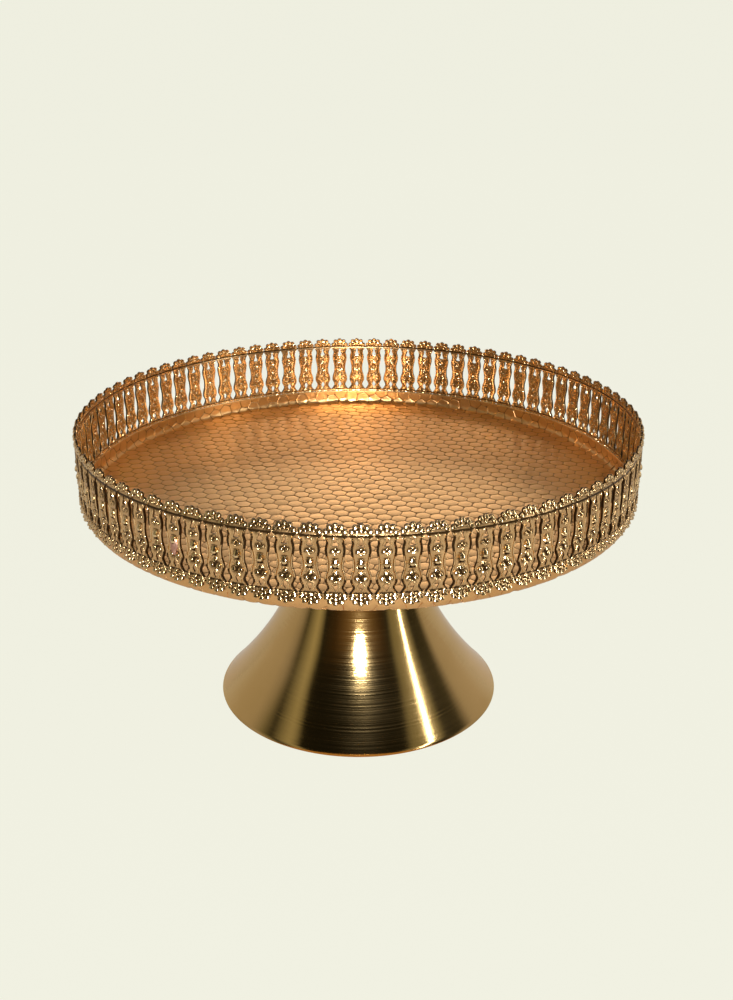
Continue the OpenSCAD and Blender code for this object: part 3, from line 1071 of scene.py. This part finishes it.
# The same higher up
WORLD_HIGH = [(-180, 0.12, WHITE), (-150, 0.42, WHITE), (-120, 0.40, ROSE), (-100, 0.38, ROSE),
              (-90, 0.20, OLIVE), (-81, 0.03, OLIVE), (-72, 0.24, OLIVE), (-65, 0.38, OLIVE),
              (-60, 0.26, OLIVE), (-55, 0.01, OLIVE), (0, 0.008, OLIVE), (46, 0.012, OLIVE),
              (52, 0.20, OLIVE), (72, 0.32, OLIVE), (81, 0.02, OLIVE), (96, 0.04, OLIVE),
              (106, 0.36, ROSE), (125, 0.40, ROSE), (150, 0.42, WHITE), (180, 0.12, WHITE)]
LOW_TO_HIGH = (20, 33)  # degrees of elevation between which one turns into the other


def stage_material(name, tint, albedo, glow):
    """Pale matte paper that also glows a little, so that it stays even to its edges."""
    n = new_material(name)
    n.shade(Base_Color=tuple(albedo * c for c in tint), Roughness=0.9, Specular_IOR_Level=0.0,
            Emission_Color=tint, Emission_Strength=glow)
    return n.owner


def stage_sheet(name, rows, material, seen, mirrored):
    """A round stage surface through (radius, height) rows, for the camera or for reflections."""
    verts, faces = lathe(rows, 64, closed=False)
    mesh = bpy.data.meshes.new(name)
    mesh.from_pydata(verts, [], faces)
    mesh.polygons.foreach_set("use_smooth", [True] * len(faces))
    mesh.materials.append(material)
    sheet = bpy.data.objects.new(name, mesh)
    bpy.context.scene.collection.objects.link(sheet)
    sheet.visible_camera = seen
    sheet.visible_glossy = mirrored
    sheet.visible_diffuse = mirrored
    sheet.visible_shadow = False


def make_stage():
    """Round floor with a dimmer table just under it that the metal mirrors, and a wall all round."""
    paper = stage_material("stage_ivory", STAGE_COLOUR, STAGE_ALBEDO, STAGE_GLOW)
    table = stage_material("stage_table", TABLE_COLOUR, TABLE_ALBEDO, TABLE_GLOW)
    for name, z, material, seen in (("floor", 0.0, paper, True), ("table", -TABLE_DROP, table, False)):
        stage_sheet(name, [(0.0, z), (0.3, z), (STAGE_R, z)], material, seen, not seen)
    sweep = arc_points(STAGE_R, STAGE_BEND, STAGE_BEND, -90, 0, 8)
    wall = sweep + [(STAGE_R + STAGE_BEND, STAGE_TOP - 1), (0.0, STAGE_TOP)]
    stage_sheet("backdrop", wall, paper, True, False)


def softbox(name, place, size, radiance, colour=(1, 1, 1)):
    """A rectangular area light of a given brightness aimed at the stand."""
    data = bpy.data.lights.new(name, "AREA")
    data.shape = "RECTANGLE"
    data.size, data.size_y = size
    data.energy = radiance * math.pi * size[0] * size[1]
    data.color = colour
    light = bpy.data.objects.new(name, data)
    light.location = place
    light.rotation_euler = (Vector(LIGHT_TARGET) - Vector(place)).to_track_quat("-Z", "Y").to_euler()
    light.visible_camera = False
    bpy.context.scene.collection.objects.link(light)


def around(azimuth, elevation, distance):
    """A place round the stand: azimuth 0 is the front, 90 the right; degrees and metres."""
    a, e = math.radians(azimuth), math.radians(elevation)
    return distance * math.sin(a) * math.cos(e), -distance * math.cos(a) * math.cos(e), distance * math.sin(e)


def surroundings(n, turn, levels):
    """Tones round the horizon from rows of azimuth, brightness and tint."""
    node = n.add("ShaderNodeValToRGB")
    n.feed(node.inputs["Fac"], turn)
    stops = node.color_ramp.elements
    stops.remove(stops[-1])
    for azimuth, level, tint in levels:
        stop = stops[0] if azimuth == -180 else stops.new((azimuth + 180) / 360)
        stop.color = (*(level * c for c in tint), 1)
    return node.outputs["Color"]


def make_world():
    """Studio surroundings for the metal to mirror, by azimuth, with another set of tones low down."""
    n = Nodes(bpy.data.worlds.new("studio"))
    direction = n.split(n.coords("Generated"))
    angle = n.math("ARCTAN2", direction["X"], n.math("MULTIPLY", direction["Y"], -1.0))
    turn = n.math("ADD", n.math("DIVIDE", angle, 2 * math.pi), 0.5)
    heights = [math.sin(math.radians(elevation)) for elevation in LOW_TO_HIGH]
    high = n.remap(direction["Z"], heights, curve="SMOOTHSTEP")
    tones = n.mix_colour(high, surroundings(n, turn, WORLD_LOW), surroundings(n, turn, WORLD_HIGH))
    n.feed(n.tree.nodes["Background"].inputs["Color"], tones)
    bpy.context.scene.world = n.owner


make_stage()
make_world()
softbox("camera_flash", around(2, 27, 1.2), (0.18, 0.08), 240)
softbox("right_strip", around(66, 28, 1.6), (0.07, 1.7), 14)
softbox("back_glow", around(178, 20, 2.2), (0.7, 0.45), 1.9, (1.0, 0.85, 0.65))

bpy.context.scene.view_settings.view_transform = "Standard"
